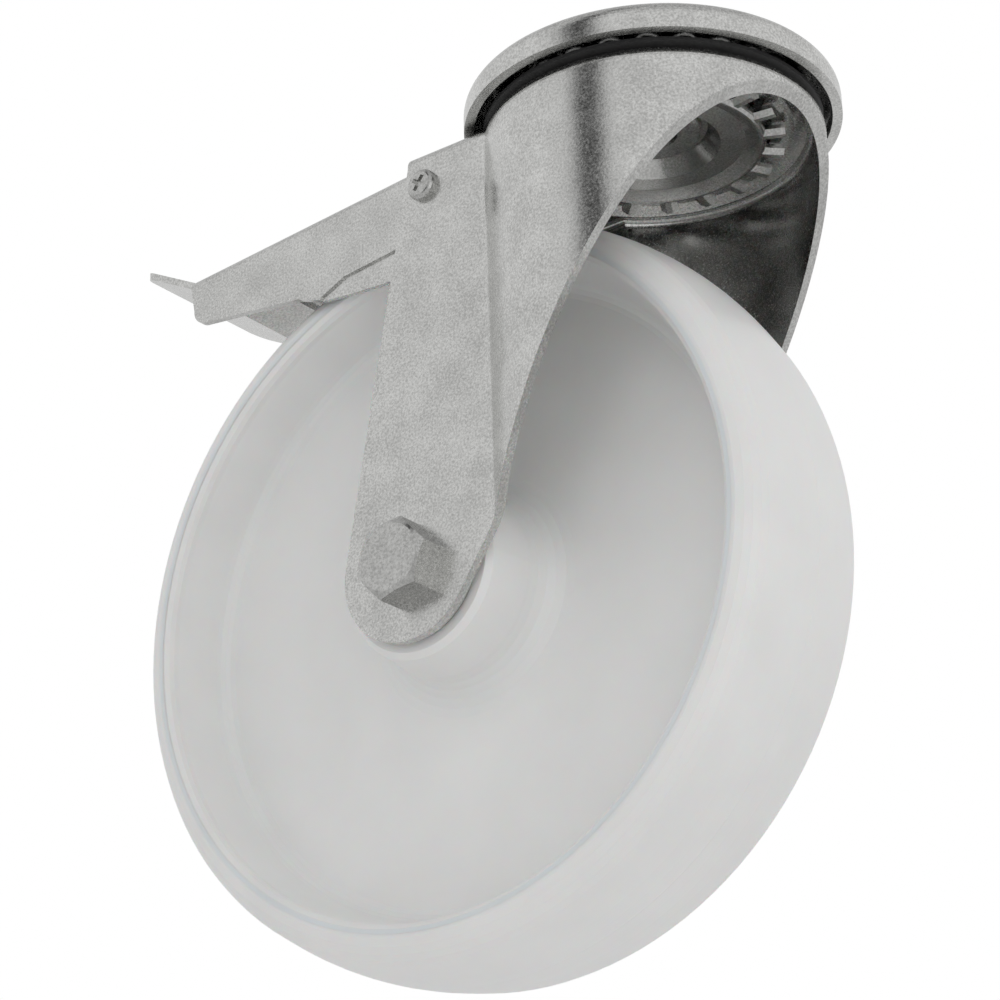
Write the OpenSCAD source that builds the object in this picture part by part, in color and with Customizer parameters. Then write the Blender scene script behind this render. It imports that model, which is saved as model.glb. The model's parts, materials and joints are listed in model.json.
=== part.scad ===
// Braked swivel castor with a bolt hole fixing and a solid nylon wheel.
// Origin: centre of the bolt hole on the flat top of the head. +Z up, +X towards
// the open front of the fork, wheel axle along Y behind the swivel axis.

/* [Castor] */
// Distance from the swivel axis back to the wheel axle
trail = 59; // [55:1:60]

/* [Wheel] */
// Wheel diameter
wheel_d = 200; // [190:1:204]
// Width over the tread
tread_w = 50; // [44:1:50]
// How far the tread falls away from its middle to its shoulders
tread_crown = 2; // [1:0.5:3]
// Radius of the rounded shoulder between tread and side
shoulder_r = 8; // [5:0.5:9]
// Thickness of the web between hub and rim
web_t = 11; // [8:1:16]
// Radial thickness of the rim at the web
rim_t = 14.5; // [12:0.5:18]
// Radius of the hub at its face
hub_r = 23; // [20:1:26]

/* [Fork] */
// Sheet thickness of the pressed fork
fork_t = 2.6; // [2.4:0.1:3]
// Outside width over the two legs
fork_w = 65; // [65:0.5:70]
// Outside radius of the round crown
crown_r = 45; // [43:0.5:45]
// Radius of the rounded leg ends
leg_end_r = 20; // [18:0.5:22]
// Outside radius of the pressed edge round the top of the fork
fork_edge_r = 3.6; // [3.4:0.1:4]

/* [Head] */
// Outside radius of the top cup
cup_r = 49.6; // [49:0.1:50]
// Sheet thickness of the top cup
cup_t = 3; // [2.5:0.1:3.2]
// Diameter of the bolt hole through the hollow kingpin
bolt_hole_d = 12.5; // [10:0.5:13]
// Number of teeth on the swivel lock disc
lock_teeth = 20; // [12:4:24]

/* [Axle] */
// Axle bolt diameter
axle_d = 12; // [10:1:12]
// Width across the flats of the axle bolt and nut
axle_af = 19; // [17:1:20]
// Diameter of the brake pivot screw
pivot_d = 5; // [4:0.5:6]

/* [Brake pedal] */
// Sheet thickness of the pedal
pedal_t = 2; // [1.6:0.1:2.2]
// How far the pedal's channel reaches behind the swivel axis
pedal_reach = 137; // [130:1:140]
// Length of the toe lip that is bent up from the pedal's end
lip_len = 26; // [20:1:28]
// Angle of the toe lip above the pedal's top, in degrees
lip_angle = 28; // [20:1:32]
// Travel of the pedal from released to locked, in degrees
brake_travel = 14.5; // [12:0.5:14.5]

/* [Hidden] */
$fn = 64;
run_gap = 0.08;   // radial running clearance on a shaft
ball_gap = 0.15;  // clearance between a ball and its track
side_gap = 0.5;   // clearance between the pedal and the fork legs
seat_gap = 0.02;  // allowance between pieces that are pressed together

// Heights of the head, from the top face down
shoulder_z = -19;                        // top of the fork crown's outer shoulder
cup_edge_z = shoulder_z + 1.5;           // lower edge of the cup's flange
cup_flat_r = 26;                         // radius of the cup's flat top
cup_fall = -8.5;                         // height of the cup's slope at its outer end
recess_z = -cup_t + 0.4;                 // sunk seat for the kingpin's top flange
track_z = shoulder_z + 1.6;              // upper ball track on the crown
plateau_z = shoulder_z + 7;              // top of the crown's raised middle
crown_seat_r = crown_r - 5;              // radius inside which the crown is dished
upper_ball_r = 4;
upper_track_r = crown_seat_r - 3.5;
lower_ball_r = 2.5;
lower_track_r = 22;
disc_t = 2.5;
disc_top_z = plateau_z - fork_t - 2 * lower_ball_r - 2 * ball_gap;
disc_bottom_z = disc_top_z - disc_t;
disc_r = 29.5;
disc_raise = 4.8;                        // how far the disc's seat on the kingpin stands up
tooth_drop = 1.5;                        // how far the toothed rim hangs below the disc
tooth_len = 5;
tooth_w = 4.8;
pin_r = 9.8;
pin_flange_r = 13;
pin_flange_t = 2;
seat_z = disc_bottom_z + disc_raise;     // underside of the disc where the kingpin is flared over it
pin_bottom_z = seat_z - pin_flange_t;
kingpin_hole_r = pin_r + 3;

// Pivot of the brake pedal, just above the top of the tread
rear_top_x = 2.5 - trail;
pivot = [rear_top_x + 5.3, shoulder_z - 10.9];
pivot_r = pivot_d / 2;
pivot_sleeve_r = pivot_r + 1.1;
tread_gap = 1.5;

// Wheel
wheel_r = wheel_d / 2;
axle_x = -trail;
axle_z = pivot[1] - pivot_sleeve_r - tread_gap - wheel_r;
half_tread = tread_w / 2;
leg_out = fork_w / 2;
leg_in = leg_out - fork_t;
sleeve_r = 10;
axle_r = axle_d / 2;
washer_t = 1.4;
washer_r = 19;
hub_half = leg_in - washer_t - 0.4;
roller_r = 2;
roller_count = 12;
roller_pitch_r = sleeve_r + roller_r + 0.05;
hub_bore_r = roller_pitch_r + roller_r + 0.05;
roller_half = 21;
cage_half = 25.5;
head_h = 0.62 * axle_d;
nut_h = 0.75 * axle_d;
nut_collar_h = 2.4;
insert_r = axle_r + 1.6;

// Fork side profile
crease_r = 5;
arch_top = [crown_r + 1, shoulder_z - 3.8];
arch_low = [-15, axle_z + 28];
leg_c = [axle_x, axle_z];

// Brake pedal and swivel lock
ear_r = 6.6;
pedal_out = leg_in - side_gap;
pedal_in = pedal_out - pedal_t;
pedal_root = [rear_top_x - 2.5, shoulder_z - 1.7];
pedal_end = [-pedal_reach, shoulder_z - 7.8];
pedal_slope = (pedal_end[1] - pedal_root[1]) / (pedal_end[0] - pedal_root[0]);
pedal_bend = 4;
lip_half = 25;
lip_corner_r = 5;
shoe_gap = 0.4;     // what is left between shoe and tread at the end of the travel
shoe_t = 3;
shoe_angle = 125;   // place of the shoe round the wheel when it is down
shoe_span = 7;
pawl_hub_r = pivot_sleeve_r + 1.1;
pawl_arm_w = 16;
pawl_w = 3.2;
pawl_top = [pivot[0] + 20, shoulder_z - 7.4];

// Points of an arc about c from angle a0 to a1, in degrees
function arc(c, r, a0, a1, n = 12) =
    [for (i = [0:n]) let (a = a0 + (a1 - a0) * i / n) c + r * [cos(a), sin(a)]];

// Points of a cubic curve with ends a, d and handles b, c
function curve(a, b, c, d, n = 20) =
    [for (i = [0:n]) let (t = i / n, u = 1 - t)
        u * u * u * a + 3 * u * u * t * b + 3 * u * t * t * c + t * t * t * d];

// Angle of a tangent from point p to a circle, as seen from its centre
function tangent_angle(p, c, r, side) =
    atan2(p[1] - c[1], p[0] - c[0]) + side * acos(r / norm(p - c));

// Height of the pedal's top at a place along X
function pedal_top(x) = pedal_root[1] + pedal_slope * (x - pedal_root[0]);

// A direction in a plane
function heading(a) = [cos(a), sin(a)];

// A body of revolution about the wheel's axle
module about_axle() {
    translate([axle_x, 0, axle_z]) rotate([90, 0, 0]) rotate_extrude($fn = 96) children();
}

// A cylinder along Y between two places, about a line in the XZ plane
module rod_y(place, r, y0, y1) {
    translate([place[0], y0, place[1]]) rotate([-90, 0, 0]) cylinder(r = r, h = y1 - y0);
}

// A flat outline in XZ, given thickness along Y
module slab_y(y0, y1) {
    translate([0, y1, 0]) rotate([90, 0, 0]) linear_extrude(y1 - y0) children();
}

// Top cup: pressed dish with a sunk middle, a sloping shoulder and a turned down flange
module top_cup() {
    flange_in = cup_r - cup_t + 0.4;
    corner_r = 4.5;
    color("silver") rotate_extrude($fn = 96) polygon(concat(
        [[pin_r + 0.1, recess_z], [pin_flange_r + 0.4, recess_z], [pin_flange_r + 1.4, 0]],
        [[cup_flat_r, 0], [cup_r - 5, cup_fall]],
        arc([cup_r - corner_r, cup_fall - corner_r - 0.2], corner_r, 75, 0, 8),
        [[cup_r, cup_edge_z], [flange_in, cup_edge_z], [flange_in, cup_fall - 5]],
        [[cup_r - 6, cup_fall - cup_t], [cup_flat_r - 0.7, -cup_t], [pin_flange_r + 1, -cup_t]],
        [[pin_flange_r, recess_z - cup_t], [pin_r + 0.1, recess_z - cup_t]]));
}

// Kingpin: hollow rivet flared over the cup at the top and over the lock disc below
module kingpin() {
    bore_r = bolt_hole_d / 2;
    color("lightgray") rotate_extrude() polygon(concat(
        [[bore_r, pin_bottom_z], [bore_r + 2.2, pin_bottom_z]],
        arc([pin_flange_r - 1.6, pin_bottom_z + 1.6], 1.6, -90, 0, 5),
        [[pin_flange_r, seat_z], [pin_r, seat_z], [pin_r, recess_z],
         [pin_flange_r, recess_z], [pin_flange_r, -0.9], [pin_flange_r - 0.9, 0], [bore_r, 0]]));
}

// Swivel lock disc: dished plate with teeth round its lowered edge
module lock_disc() {
    rim_z = disc_bottom_z - tooth_drop;
    color("gray") {
        rotate_extrude() polygon(concat(
            [[pin_r + seat_gap, seat_z + disc_t], [pin_r + seat_gap, seat_z], [pin_flange_r + 1.3, seat_z]],
            [[pin_flange_r + 4.5, disc_bottom_z], [disc_r - 5.5, disc_bottom_z + 0.3]],
            arc([disc_r - 1.5, rim_z + 1.5], 1.5, 240, 360, 6),
            [[disc_r, rim_z + disc_t], [disc_r - 3, disc_top_z], [pin_flange_r + 5.8, disc_top_z],
             [pin_flange_r + 2.6, seat_z + disc_t]]));
        for (i = [0:lock_teeth - 1]) rotate((i + 0.5) * 360 / lock_teeth) tooth(rim_z);
    }
}

// One tooth of the lock disc, with a ridge along its middle
module tooth(z) {
    flank = 1.1;
    translate([disc_r - 0.8, 0, z + 0.1]) rotate([90, 0, 90]) linear_extrude(tooth_len + 0.8)
        polygon([[-tooth_w / 2, flank], [-tooth_w / 6, 0], [tooth_w / 6, 0], [tooth_w / 2, flank],
            [tooth_w / 2, disc_t - 0.2], [-tooth_w / 2, disc_t - 0.2]]);
}

// A ring of balls lying on a track
module ball_ring(track_r, r, z) {
    count = floor(2 * PI * track_r / (2.25 * r));
    for (i = [0:count - 1]) rotate(i * 360 / count) translate([track_r, 0, z]) sphere(r = r, $fn = 24);
}

// Balls that carry the load between crown and cup
module upper_balls() {
    color("dimgray") ball_ring(upper_track_r, upper_ball_r, track_z + upper_ball_r + ball_gap);
}

// Balls that hold the fork up on the lock disc
module lower_balls() {
    color("dimgray") ball_ring(lower_track_r, lower_ball_r, disc_top_z + lower_ball_r + ball_gap);
}

// Dust seal: flat ring that closes the gap between crown and cup
module dust_seal() {
    color("darkslategray") translate([0, 0, shoulder_z]) rotate_extrude($fn = 96)
        polygon([[crown_seat_r + 0.6, 0], [crown_r - fork_edge_r, 0], [crown_r - 0.3, 0.7],
            [crown_r - 0.3, 1.7], [crown_seat_r + 0.6, 1.7]]);
}

// Outer or inner form of the fork: round crown, straight legs running back and their creases
module fork_form(r, half_w, top_z, edge_r) {
    bottom_z = axle_z - leg_end_r - 2;
    rear_x = axle_x - leg_end_r - 10;
    flank_x = -sqrt(r * r - half_w * half_w);
    crease_x = -sqrt(pow(r + crease_r, 2) - pow(half_w + crease_r, 2));
    rotate_extrude($fn = 128) polygon(concat([[0, bottom_z], [r, bottom_z]],
        arc([r - edge_r, top_z - edge_r], edge_r, 0, 90, 8), [[0, top_z]]));
    translate([rear_x, 0, 0]) rotate([90, 0, 90]) linear_extrude(-rear_x) polygon(concat(
        [[-half_w, bottom_z], [half_w, bottom_z]],
        arc([half_w - edge_r, top_z - edge_r], edge_r, 0, 90, 8),
        arc([edge_r - half_w, top_z - edge_r], edge_r, 90, 180, 8)));
    translate([0, 0, bottom_z]) linear_extrude(top_z - edge_r - bottom_z)
        for (side = [-1, 1]) difference() {
            polygon([[crease_x, side * (half_w - 1)], [crease_x, side * half_w],
                [crease_x, side * (half_w + crease_r)] * r / (r + crease_r), [flank_x + 4, side * (half_w - 1)]]);
            translate([crease_x, side * (half_w + crease_r)]) circle(r = crease_r);
        }
}

// Side view of the fork: straight back edge, round leg end and the arch cut from the front
module fork_side() {
    rear_top = [rear_top_x, shoulder_z - 4];
    rear_a = tangent_angle(rear_top, leg_c, leg_end_r, 1);
    front_a = tangent_angle(arch_low, leg_c, leg_end_r, -1);
    arch_handle = [10, (arch_low[1] + arch_top[1]) / 2 - 3];
    polygon(concat(
        [[crown_r + 2, 1], [rear_top_x, 1], rear_top],
        arc(leg_c, leg_end_r, rear_a, front_a + 360, 24),
        curve(arch_low, arch_handle, [34, arch_top[1] - 9.5], arch_top, 20),
        [[crown_r + 2, arch_top[1]]]));
}

// Pressed fork: raised crown with its ball track, two legs and the arch
module fork() {
    color("gainsboro") difference() {
        intersection() {
            union() {
                difference() {
                    fork_form(crown_r, leg_out, shoulder_z, fork_edge_r);
                    fork_form(crown_r - fork_t, leg_in, shoulder_z - fork_t, fork_edge_r - fork_t + 1);
                    translate([0, 0, shoulder_z - fork_t - 1]) cylinder(r = crown_seat_r, h = fork_t + 2);
                }
                crown_dish();
            }
            slab_y(-crown_r - 1, crown_r + 1) fork_side();
        }
        rod_y(leg_c, axle_r + 0.25, -leg_out - 1, leg_out + 1);
        rod_y(pivot, pivot_r + 0.1, -leg_out - 1, leg_out + 1);
    }
}

// Raised middle of the crown with the upper ball track round it
module crown_dish() {
    track_in = upper_track_r - 4;
    track_out = upper_track_r + 1.8;
    under_z = track_z - fork_t + 0.2;
    rotate_extrude($fn = 96) polygon([[kingpin_hole_r, plateau_z], [track_in - 2.4, plateau_z], [track_in, track_z],
        [track_out, track_z], [crown_seat_r + 0.5, shoulder_z], [crown_seat_r + 0.5, shoulder_z - fork_t],
        [track_out - 1.5, under_z], [track_in - 1.4, under_z], [track_in - 4, plateau_z - fork_t],
        [kingpin_hole_r, plateau_z - fork_t]]);
}

// One-piece nylon wheel: hub, dished web and a thick rim with a crowned tread
module wheel() {
    shoulder_y = half_tread - shoulder_r;
    tread_r = (shoulder_y * shoulder_y + tread_crown * tread_crown) / (2 * tread_crown);
    fall = asin(shoulder_y / tread_r);
    rim_in = wheel_r - rim_t;
    half_web = web_t / 2;
    half = concat(
        [[hub_bore_r, hub_half], [hub_r - 1.5, hub_half], [hub_r, hub_half - 1.5], [hub_r + 1.5, half_web + 9]],
        arc([hub_r + 9.5, half_web + 8], 8, 180, 270, 5),
        [[rim_in - 7, half_web]],
        arc([rim_in - 5, half_web + 5], 5, 280, 345, 4),
        [[rim_in + 2.6, half_tread - 4]],
        arc([rim_in + 5.6, half_tread - 3], 3, 170, 90, 3),
        arc([wheel_r - tread_crown - shoulder_r, shoulder_y], shoulder_r, 90, fall, 5),
        arc([wheel_r - tread_r, 0], tread_r, fall * 0.75, 0, 3));
    mirrored = [for (i = [len(half) - 1:-1:0]) [half[i][0], -half[i][1]]];
    color("whitesmoke") about_axle() polygon(concat(half, [for (i = [1:len(mirrored) - 1]) mirrored[i]]));
}

// Needle rollers of the wheel's bearing
module rollers() {
    color("dimgray") for (i = [0:roller_count - 1]) rod_y(
        leg_c + roller_pitch_r * heading(i * 360 / roller_count), roller_r, -roller_half, roller_half);
}

// Moulded cage that keeps the rollers apart
module roller_cage() {
    ring_gap = 0.12;
    bar_half = 0.8;
    color("tan") difference() {
        rod_y(leg_c, hub_bore_r - ring_gap, -cage_half, cage_half);
        rod_y(leg_c, sleeve_r + ring_gap, -cage_half - 1, cage_half + 1);
        difference() {
            rod_y(leg_c, hub_bore_r + 1, -roller_half - 0.2, roller_half + 0.2);
            rod_y(leg_c, roller_pitch_r + bar_half, -cage_half, cage_half);
        }
        rod_y(leg_c, roller_pitch_r - bar_half, -roller_half - 0.2, roller_half + 0.2);
        for (i = [0:roller_count - 1]) rod_y(leg_c + roller_pitch_r * heading(i * 360 / roller_count),
            roller_r + ball_gap, -roller_half - 0.2, roller_half + 0.2);
    }
}

// Steel tube clamped between the legs, on which the rollers turn
module axle_sleeve() {
    color("silver") difference() {
        rod_y(leg_c, sleeve_r, -leg_in, leg_in);
        rod_y(leg_c, axle_r + 0.1, -leg_in - 1, leg_in + 1);
    }
}

// Thin washer between the hub and one leg
module hub_washer(y0) {
    color("silver") difference() {
        rod_y(leg_c, washer_r, y0, y0 + washer_t);
        rod_y(leg_c, sleeve_r + 0.15, y0 - 1, y0 + washer_t + 1);
    }
}

// Hexagon with a turned chamfer on the face that points along +Z
module hexagon(af, h) {
    corner_r = af / sqrt(3);
    intersection() {
        rotate(12) cylinder(r = corner_r, h = h, $fn = 6);
        rotate_extrude() polygon([[0, 0], [corner_r + 0.1, 0], [corner_r + 0.1, h - 1.2], [af / 2 * 0.93, h], [0, h]]);
    }
}

// Hexagon bolt through legs, sleeve and nut
module axle_bolt() {
    color("silver") {
        translate([axle_x, -leg_out, axle_z]) rotate([90, 0, 0]) hexagon(axle_af, head_h);
        rod_y(leg_c, axle_r, -leg_out - 0.5, leg_out + nut_h + nut_collar_h + 1.5);
    }
}

// Locking nut on the far leg, with a collar for its nylon insert
module axle_nut() {
    color("silver") difference() {
        translate([axle_x, leg_out, axle_z]) rotate([-90, 0, 0]) union() {
            hexagon(axle_af, nut_h);
            cylinder(r = insert_r + 0.9, h = nut_h + nut_collar_h);
        }
        rod_y(leg_c, axle_r + 0.05, leg_out - 1, leg_out + nut_h + 1);
        rod_y(leg_c, insert_r, leg_out + nut_h, leg_out + nut_h + nut_collar_h + 1);
    }
}

// Nylon ring that keeps the nut from working loose
module nut_insert() {
    color("white") difference() {
        rod_y(leg_c, insert_r - seat_gap, leg_out + nut_h, leg_out + nut_h + nut_collar_h - 0.3);
        rod_y(leg_c, axle_r + seat_gap, leg_out + nut_h - 1, leg_out + nut_h + nut_collar_h + 1);
    }
}

// Pan head screw that clamps the pedal's pivot between the legs
module pivot_screw() {
    head_r = 0.87 * pivot_d;
    color("silver") difference() {
        union() {
            rod_y(pivot, pivot_r, -leg_out - 0.5, leg_out + 6.5);
            translate([pivot[0], -leg_out, pivot[1]]) rotate([90, 0, 0]) rotate_extrude() polygon(concat(
                [[0, 0], [head_r, 0]], arc([head_r - 1.5, 0.9], 1.5, 0, 75, 6), [[0, 2.5]]));
        }
        for (turn = [35, 125]) translate([pivot[0], -leg_out - 1.2, pivot[1]]) rotate([90, turn, 0])
            translate([-2.3, -0.6, 0]) cube([4.6, 1.2, 3]);
    }
}

// Tube between the legs that the pedal turns on
module pivot_sleeve() {
    color("silver") difference() {
        rod_y(pivot, pivot_sleeve_r, -leg_in, leg_in);
        rod_y(pivot, pivot_r + 0.1, -leg_in - 1, leg_in + 1);
    }
}

// Locking nut of the pivot screw
module pivot_nut() {
    color("silver") difference() {
        translate([pivot[0], leg_out, pivot[1]]) rotate([-90, 0, 0]) hexagon(1.6 * pivot_d, 0.9 * pivot_d);
        rod_y(pivot, pivot_r + 0.05, leg_out - 1, leg_out + pivot_d + 1);
    }
}

// Cross section of the pedal's channel, with rounded bends, open below
module channel(half_w, bend) {
    polygon(concat([[-half_w, -40], [half_w, -40]],
        arc([half_w - bend, -bend], bend, 0, 90, 8), arc([bend - half_w, -bend], bend, 90, 180, 8)));
}

// Side view of the pedal: ears on the pivot, sloping top, stepped lower edge and round rear end
module pedal_side() {
    nose = pedal_end + [6, -11];
    polygon(concat(
        [[pedal_root[0], pedal_root[1] + 3], [pedal_root[0], pivot[1] + ear_r]],
        arc(pivot, ear_r, 90, -70, 12),
        [[pivot[0] - 8, pivot[1] - 22], [pivot[0] - 28, pivot[1] - 20.7], [pivot[0] - 38, pivot[1] - 19.6]],
        [[pivot[0] - 46, pivot[1] - 16.6], [pivot[0] - 60, pivot[1] - 14.8]],
        arc(nose, 4.5, 263, 175, 8),
        [[pedal_end[0], pedal_end[1] - 2], pedal_end, [pedal_end[0], pedal_end[1] + 3]]));
}

// Shallow step pressed into the lower front of each pedal wall
module pedal_step() {
    depth = 0.7;
    for (side = [-1, 1]) slab_y(side * (pedal_out - depth / 2) - depth / 2 - seat_gap,
        side * (pedal_out - depth / 2) + depth / 2 + seat_gap)
        polygon([[pivot[0] - 38, pivot[1] - 18.6], [pivot[0] - 30, pivot[1] - 15.1], [pivot[0] - 6, pivot[1] - 12.5],
            [pivot[0] - 6, pivot[1] - 25], [pivot[0] - 42, pivot[1] - 25]]);
}

// Toe lip: the pedal's top carried on and bent up, with round corners
module toe_lip() {
    bend = atan(pedal_slope);
    tip = pedal_end - lip_len * heading(-lip_angle);
    back = [pedal_end[0] + 4, pedal_top(pedal_end[0] + 4)];
    plan_x = tip[0] + lip_corner_r;
    intersection() {
        slab_y(-lip_half, lip_half) polygon([back, pedal_end, tip, tip - pedal_t * heading(90 - lip_angle),
            pedal_end - pedal_t * heading(90 + (bend - lip_angle) / 2), back - [0, pedal_t]]);
        union() {
            translate([plan_x, -lip_half, pedal_end[1] - 20]) cube([lip_len + 20, 2 * lip_half, 60]);
            translate([plan_x - lip_corner_r, lip_corner_r - lip_half, pedal_end[1] - 20])
                cube([lip_corner_r + 1, 2 * (lip_half - lip_corner_r), 60]);
            for (side = [-1, 1]) translate([plan_x, side * (lip_half - lip_corner_r), pedal_end[1] - 20])
                cylinder(r = lip_corner_r, h = 60);
        }
    }
}

// Brake pedal: folded channel that straddles the wheel behind the fork
module brake_pedal() {
    tilt = atan(pedal_slope);
    color("lightgray") difference() {
        union() {
            intersection() {
                translate([pedal_root[0], 0, pedal_root[1]]) rotate([0, -tilt, 0]) rotate([90, 0, -90])
                    translate([0, 0, -40]) linear_extrude(pedal_reach + 10) difference() {
                        channel(pedal_out, pedal_bend);
                        translate([0, -pedal_t]) channel(pedal_in, pedal_bend - pedal_t);
                    }
                slab_y(-leg_in, leg_in) pedal_side();
            }
            toe_lip();
        }
        pedal_step();
        rod_y(pivot, pivot_sleeve_r + run_gap, -leg_in - 1, leg_in + 1);
    }
}

// Brake shoe: curved strip across the pedal that comes down on the tread
module brake_shoe() {
    inner_r = wheel_r + shoe_gap;
    a0 = shoe_angle - shoe_span / 2;
    a1 = shoe_angle + shoe_span / 2;
    color("lightgray") translate([pivot[0], 0, pivot[1]]) rotate([0, brake_travel, 0])
        translate([-pivot[0], 0, -pivot[1]]) slab_y(-pedal_in, pedal_in)
        polygon(concat(arc(leg_c, inner_r, a0, a1, 6), arc(leg_c, inner_r + shoe_t, a1, a0, 6)));
}

// Swivel lock pawl: hub on the pivot with a finger that rises between two teeth of the disc
module lock_pawl() {
    arm_z = pivot[1] - 0.3;
    color("gray") difference() {
        union() {
            rod_y(pivot, pawl_hub_r, -pedal_in, pedal_in);
            slab_y(-pawl_arm_w / 2, pawl_arm_w / 2) polygon([[pivot[0], arm_z], [pivot[0], arm_z - 4],
                [pawl_top[0] + 1.7, arm_z - 2.6], [pawl_top[0] + 1.7, arm_z]]);
            slab_y(-pawl_w / 2, pawl_w / 2) polygon([[pawl_top[0] - 2.4, arm_z - 1], [pawl_top[0] + 1.7, arm_z - 1],
                pawl_top + [1.5, 0], pawl_top - [1.5, 0]]);
        }
        rod_y(pivot, pivot_sleeve_r + run_gap, -leg_in, leg_in);
    }
}

top_cup();
kingpin();
lock_disc();
upper_balls();
lower_balls();
dust_seal();
fork();
wheel();
rollers();
roller_cage();
axle_sleeve();
axle_bolt();
axle_nut();
nut_insert();
hub_washer(-leg_in + 0.2);  // hub_washer_left
hub_washer(leg_in - 0.2 - washer_t);  // hub_washer_right
pivot_screw();
pivot_sleeve();
pivot_nut();
brake_pedal();
brake_shoe();
lock_pawl();
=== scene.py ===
"""Studio picture of the braked castor: materials, light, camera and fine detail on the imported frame."""
import json
import math

import bpy
import numpy as np
from mathutils import Matrix, Vector


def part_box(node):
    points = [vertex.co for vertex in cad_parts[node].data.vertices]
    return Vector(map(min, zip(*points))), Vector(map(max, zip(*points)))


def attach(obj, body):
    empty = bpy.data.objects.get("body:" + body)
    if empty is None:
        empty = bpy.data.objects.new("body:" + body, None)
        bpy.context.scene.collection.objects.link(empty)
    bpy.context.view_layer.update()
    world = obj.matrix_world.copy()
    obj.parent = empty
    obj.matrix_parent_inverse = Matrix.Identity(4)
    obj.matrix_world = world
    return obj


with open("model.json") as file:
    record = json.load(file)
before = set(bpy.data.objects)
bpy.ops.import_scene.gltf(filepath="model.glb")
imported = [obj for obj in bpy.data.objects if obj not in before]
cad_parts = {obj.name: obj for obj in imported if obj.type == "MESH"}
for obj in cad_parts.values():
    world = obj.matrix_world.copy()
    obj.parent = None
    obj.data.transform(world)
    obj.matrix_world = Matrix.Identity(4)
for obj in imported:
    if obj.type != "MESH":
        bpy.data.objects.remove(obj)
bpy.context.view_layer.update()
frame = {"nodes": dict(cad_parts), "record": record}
MM = 0.001

# Camera fitted to the photograph, lengths in metres and angles in degrees
CAMERA_TARGET = Vector((-0.0535, 0.0, -0.1082))
CAMERA_DISTANCE = 0.7468
CAMERA_AZIMUTH = 36.57
CAMERA_ELEVATION = -23.4
CAMERA_ROLL = -1.68
CAMERA_LENS = 103.4
SENSOR_WIDTH = 36.0
FLOOR_Z = -0.52
FLOOR_REACH = 6.0

# Studio: strength of the room, its tones from below to above, lamps as (name, place, size, watts,
# whether metal mirrors it), and dark flags in the room as (azimuth, half width, softness, strength, tone)
ROOM_STRENGTH = 1.12
ROOM_TONES = [(0.0, "#bcbcbc"), (0.40, "#c4c4c4"), (0.62, "#d8d8d8"), (0.80, "#dcdcdc"), (1.0, "#b0b0b0")]
LAMPS = [("key", (-0.1, -1.3, 0.3), 1.0, 0.9, False), ("arch", (0.75, -0.45, -0.30), 0.9, 1.1, True),
         ("back", (-0.4, 0.9, 0.6), 0.8, 1.6, False)]
FLAGS = [(-100.0, 6.0, 8.0, 0.95, "#1c1c1c")]

# Zinc: width of its soft clouds in mm, and the share of fine grain in its mottling
CLOUD_MM = 9.0
GRAIN_SHARE = 0.75


def linear(hex_colour):
    """Linear RGBA of a hex sRGB colour."""
    channels = [int(hex_colour[i:i + 2], 16) / 255 for i in (1, 3, 5)]
    return [c / 12.92 if c <= 0.04045 else ((c + 0.055) / 1.055) ** 2.4 for c in channels] + [1.0]


def add(tree, kind, links=None, **values):
    """Adds a node, sets its properties or its sockets by name, and links its inputs."""
    node = tree.nodes.new(kind)
    for name, value in values.items():
        if hasattr(node, name):
            setattr(node, name, value)
        else:
            node.inputs[name.replace("_", " ")].default_value = value
    for name, source in (links or {}).items():
        tree.links.new(source, node.inputs[name])
    return node


def new_material(name):
    """An empty material with its node tree, shader and object coordinates."""
    material = bpy.data.materials.new(name)
    material.use_nodes = True
    tree = material.node_tree
    shader = tree.nodes["Principled BSDF"]
    place = add(tree, "ShaderNodeTexCoord").outputs["Object"]
    return material, tree, shader, place


def noise(tree, place, size_mm, detail=3.0):
    """Noise whose blotches are about size_mm across."""
    node = add(tree, "ShaderNodeTexNoise", {"Vector": place}, Scale=1000 / size_mm, Detail=detail)
    return node.outputs["Fac"]


def ramp(tree, value, stops):
    """Colour ramp over (position, hex colour) stops."""
    node = add(tree, "ShaderNodeValToRGB", {"Fac": value})
    elements = node.color_ramp.elements
    while len(elements) < len(stops):
        elements.new(0.5)
    for element, (position, colour) in zip(elements, stops):
        element.position = position
        element.color = linear(colour)
    return node.outputs["Color"]


def spread(tree, value, low, high):
    """Maps a noise value to a range."""
    return add(tree, "ShaderNodeMapRange", {"Value": value}, From_Min=0.3, From_Max=0.7,
               To_Min=low, To_Max=high).outputs["Result"]


def plated_steel(name, dark, light, rough, grain_mm, bump_mm):
    """Zinc-plated steel: mottled tone, uneven satin gloss and a faint orange-peel surface."""
    material, tree, shader, place = new_material(name)
    grain = noise(tree, place, grain_mm)
    cloud = noise(tree, place, CLOUD_MM)
    mix = add(tree, "ShaderNodeMix", {2: cloud, 3: grain})
    mix.inputs[0].default_value = GRAIN_SHARE
    mottle = mix.outputs[0]
    tree.links.new(ramp(tree, mottle, [(0.36, dark), (0.64, light)]), shader.inputs["Base Color"])
    tree.links.new(spread(tree, mottle, rough[0], rough[1]), shader.inputs["Roughness"])
    bump = add(tree, "ShaderNodeBump", {"Height": grain}, Strength=0.35, Distance=bump_mm * MM)
    tree.links.new(bump.outputs["Normal"], shader.inputs["Normal"])
    shader.inputs["Metallic"].default_value = 1.0
    return material


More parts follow.
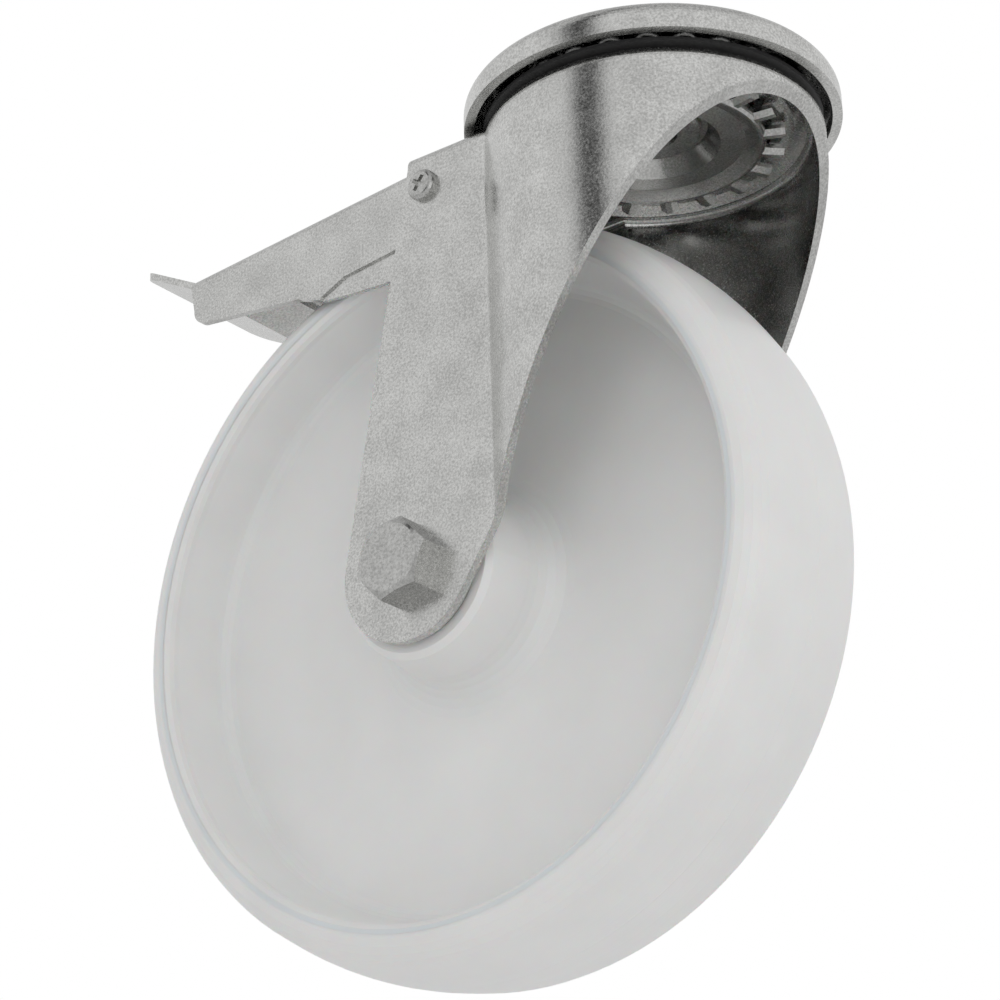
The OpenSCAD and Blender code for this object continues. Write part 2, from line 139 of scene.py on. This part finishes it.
def white_nylon():
    """Moulded polyamide: milky white, soft shine, faint flow marks and the mould's parting line."""
    material, tree, shader, place = new_material("white_polyamide")
    flow = noise(tree, place, 22.0, 2.0)
    fine = noise(tree, place, 0.7)
    tree.links.new(ramp(tree, flow, [(0.3, "#efefee"), (0.7, "#f3f3f2")]), shader.inputs["Base Color"])
    tree.links.new(spread(tree, flow, 0.30, 0.40), shader.inputs["Roughness"])
    across = add(tree, "ShaderNodeSeparateXYZ", {"Vector": place}).outputs["Y"]
    offset = add(tree, "ShaderNodeMath", {0: across}, operation="ABSOLUTE").outputs[0]
    seam = add(tree, "ShaderNodeMapRange", {"Value": offset}, From_Min=0.0, From_Max=0.35 * MM,
               To_Min=1.0, To_Max=0.0).outputs["Result"]
    grain = add(tree, "ShaderNodeMath", {0: fine}, operation="MULTIPLY")
    grain.inputs[1].default_value = 0.12
    height = add(tree, "ShaderNodeMath", {0: seam, 1: grain.outputs[0]}, operation="ADD").outputs[0]
    bump = add(tree, "ShaderNodeBump", {"Height": height}, Strength=0.5, Distance=0.1 * MM)
    tree.links.new(bump.outputs["Normal"], shader.inputs["Normal"])
    shader.inputs["Subsurface Weight"].default_value = 0.25
    shader.inputs["Subsurface Scale"].default_value = 3 * MM
    shader.inputs["IOR"].default_value = 1.53
    return material


def moulded(name, dark, light, rough):
    """Plain moulded plastic with a fine matte grain."""
    material, tree, shader, place = new_material(name)
    grain = noise(tree, place, 0.5)
    tree.links.new(ramp(tree, grain, [(0.35, dark), (0.65, light)]), shader.inputs["Base Color"])
    tree.links.new(spread(tree, grain, rough - 0.06, rough + 0.06), shader.inputs["Roughness"])
    bump = add(tree, "ShaderNodeBump", {"Height": grain}, Strength=0.3, Distance=0.05 * MM)
    tree.links.new(bump.outputs["Normal"], shader.inputs["Normal"])
    return material


ZINC = plated_steel("zinc_plated_sheet", "#b2b2b0", "#e0e0de", (0.17, 0.30), 0.6, 0.05)
BRIGHT = plated_steel("zinc_plated_turned_steel", "#a6a6a4", "#cececc", (0.14, 0.26), 0.6, 0.03)
BEARING = plated_steel("polished_bearing_steel", "#8e8e8e", "#b0b0b0", (0.10, 0.16), 0.8, 0.01)
NYLON = white_nylon()
SEAL = moulded("dark_seal_plastic", "#2c2c2c", "#393939", 0.55)
CAGE = moulded("natural_nylon_cage", "#cfc8b8", "#d9d3c4", 0.5)

SLOT_MATERIALS = {"zinc": ZINC, "bright_steel": BRIGHT, "bearing_steel": BEARING,
                  "seal": SEAL, "nylon": NYLON, "cage": CAGE}
for part in frame["record"]["subparts"]:
    node = frame["nodes"][part["node"]]
    node.data.materials.clear()
    node.data.materials.append(SLOT_MATERIALS[part["material_slot"]])


def grid_piece(name, points, body, material):
    """A closed-round surface from a (rings, sides, 3) array in metres, smooth shaded, riding on a body."""
    rings, sides, _ = points.shape
    index = np.arange(rings * sides).reshape(rings, sides)
    start, after = index[:-1], index[1:]
    quads = np.stack([start, np.roll(start, -1, 1), np.roll(after, -1, 1), after], -1).reshape(-1, 4)
    mesh = bpy.data.meshes.new(name)
    mesh.from_pydata(points.reshape(-1, 3).tolist(), [], quads.tolist())
    mesh.polygons.foreach_set("use_smooth", [True] * len(mesh.polygons))
    mesh.materials.append(material)
    piece = bpy.data.objects.new(name, mesh)
    bpy.context.scene.collection.objects.link(piece)
    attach(piece, body)
    return piece


def bore_thread():
    """Rings of the kingpin's threaded bore: r = R - depth (1 + cos(2 pi z / pitch - angle)) / 2, a helix."""
    bore_r, depth, pitch = 6.23 * MM, 0.7 * MM, 1.75 * MM
    low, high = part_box("kingpin")
    z = np.linspace(low[2] + 1.2 * MM, high[2] - 0.6 * MM, 180)[:, None]
    angle = np.linspace(0, 2 * np.pi, 72, endpoint=False)[None, :]
    r = bore_r - depth * (1 + np.cos(2 * np.pi * z / pitch - angle)) / 2
    points = np.stack([r * np.cos(angle), -r * np.sin(angle), np.broadcast_to(z, r.shape)], -1)
    return grid_piece("bore_thread", points, "head", BRIGHT)


bore_thread()


def band(tree, azimuth, centre, half_width, softness):
    """1 inside a band of azimuths in degrees, falling to 0 over the softness."""
    away = add(tree, "ShaderNodeMath", {0: azimuth}, operation="SUBTRACT")
    away.inputs[1].default_value = math.radians(centre)
    size = add(tree, "ShaderNodeMath", {0: away.outputs[0]}, operation="ABSOLUTE").outputs[0]
    return add(tree, "ShaderNodeMapRange", {"Value": size}, interpolation_type="SMOOTHSTEP",
               From_Min=math.radians(half_width), From_Max=math.radians(half_width + softness),
               To_Min=1.0, To_Max=0.0).outputs["Result"]


def studio():
    """White backdrop for the camera, and a soft grey room with dark flags for light and reflections."""
    scene = bpy.context.scene
    scene.view_settings.view_transform = "Standard"
    world = bpy.data.worlds.new("studio")
    scene.world = world
    world.use_nodes = True
    tree = world.node_tree
    tree.nodes.clear()
    way = add(tree, "ShaderNodeSeparateXYZ", {"Vector": add(tree, "ShaderNodeTexCoord").outputs["Generated"]})
    azimuth = add(tree, "ShaderNodeMath", {0: way.outputs["Y"], 1: way.outputs["X"]},
                  operation="ARCTAN2").outputs[0]
    level = add(tree, "ShaderNodeMapRange", {"Value": way.outputs["Z"]}, From_Min=-1.0, From_Max=1.0)
    room = ramp(tree, level.outputs["Result"], ROOM_TONES)
    for centre, half_width, softness, strength, tone in FLAGS:
        weight = add(tree, "ShaderNodeMath", {0: band(tree, azimuth, centre, half_width, softness)},
                     operation="MULTIPLY")
        weight.inputs[1].default_value = strength
        flag = add(tree, "ShaderNodeMix", data_type="RGBA")
        tree.links.new(weight.outputs[0], flag.inputs[0])
        tree.links.new(room, flag.inputs[6])
        flag.inputs[7].default_value = linear(tone)
        room = flag.outputs[2]
    inside = add(tree, "ShaderNodeBackground", {"Color": room}, Strength=ROOM_STRENGTH)
    backdrop = add(tree, "ShaderNodeBackground", Color=(1.0, 1.0, 1.0, 1.0), Strength=1.0)
    seen = add(tree, "ShaderNodeLightPath").outputs["Is Camera Ray"]
    mix = add(tree, "ShaderNodeMixShader", {0: seen, 1: inside.outputs[0], 2: backdrop.outputs[0]})
    add(tree, "ShaderNodeOutputWorld", {"Surface": mix.outputs[0]})
    for name, place, size, power, mirrored in LAMPS:
        light = bpy.data.lights.new(name, "AREA")
        light.size = size
        light.energy = power
        lamp = bpy.data.objects.new(name, light)
        lamp.location = place
        lamp.visible_glossy = mirrored
        lamp.rotation_euler = (CAMERA_TARGET - Vector(place)).to_track_quat("-Z", "Y").to_euler()
        scene.collection.objects.link(lamp)


def floor():
    """Pale floor far below the hanging castor, lower than the camera."""
    mesh = bpy.data.meshes.new("floor")
    corners = ((-1, -1), (1, -1), (1, 1), (-1, 1))
    mesh.from_pydata([(FLOOR_REACH * x, FLOOR_REACH * y, FLOOR_Z) for x, y in corners], [], [(0, 1, 2, 3)])
    material, tree, shader, place = new_material("pale_floor")
    tone = noise(tree, place, 300.0)
    tree.links.new(ramp(tree, tone, [(0.3, "#f0f0f0"), (0.7, "#f6f6f6")]), shader.inputs["Base Color"])
    shader.inputs["Roughness"].default_value = 0.8
    mesh.materials.append(material)
    piece = bpy.data.objects.new("floor", mesh)
    bpy.context.scene.collection.objects.link(piece)


def camera():
    """Camera at the photograph's viewpoint, rolled about its own axis."""
    azimuth, elevation, roll = (math.radians(a) for a in (CAMERA_AZIMUTH, CAMERA_ELEVATION, CAMERA_ROLL))
    back = Vector((math.sin(azimuth) * math.cos(elevation), -math.cos(azimuth) * math.cos(elevation),
                   math.sin(elevation)))
    level = Vector((math.cos(azimuth), math.sin(azimuth), 0.0))
    up = back.cross(level)
    right = level * math.cos(roll) + up * math.sin(roll)
    top = up * math.cos(roll) - level * math.sin(roll)
    data = bpy.data.cameras.new("camera")
    data.lens = CAMERA_LENS
    data.sensor_width = SENSOR_WIDTH
    data.clip_start = 0.01
    view = bpy.data.objects.new("camera", data)
    turn = Matrix((right, top, back)).transposed().to_4x4()
    view.matrix_world = Matrix.Translation(CAMERA_TARGET + back * CAMERA_DISTANCE) @ turn
    bpy.context.scene.collection.objects.link(view)
    bpy.context.scene.camera = view


studio()
floor()
camera()
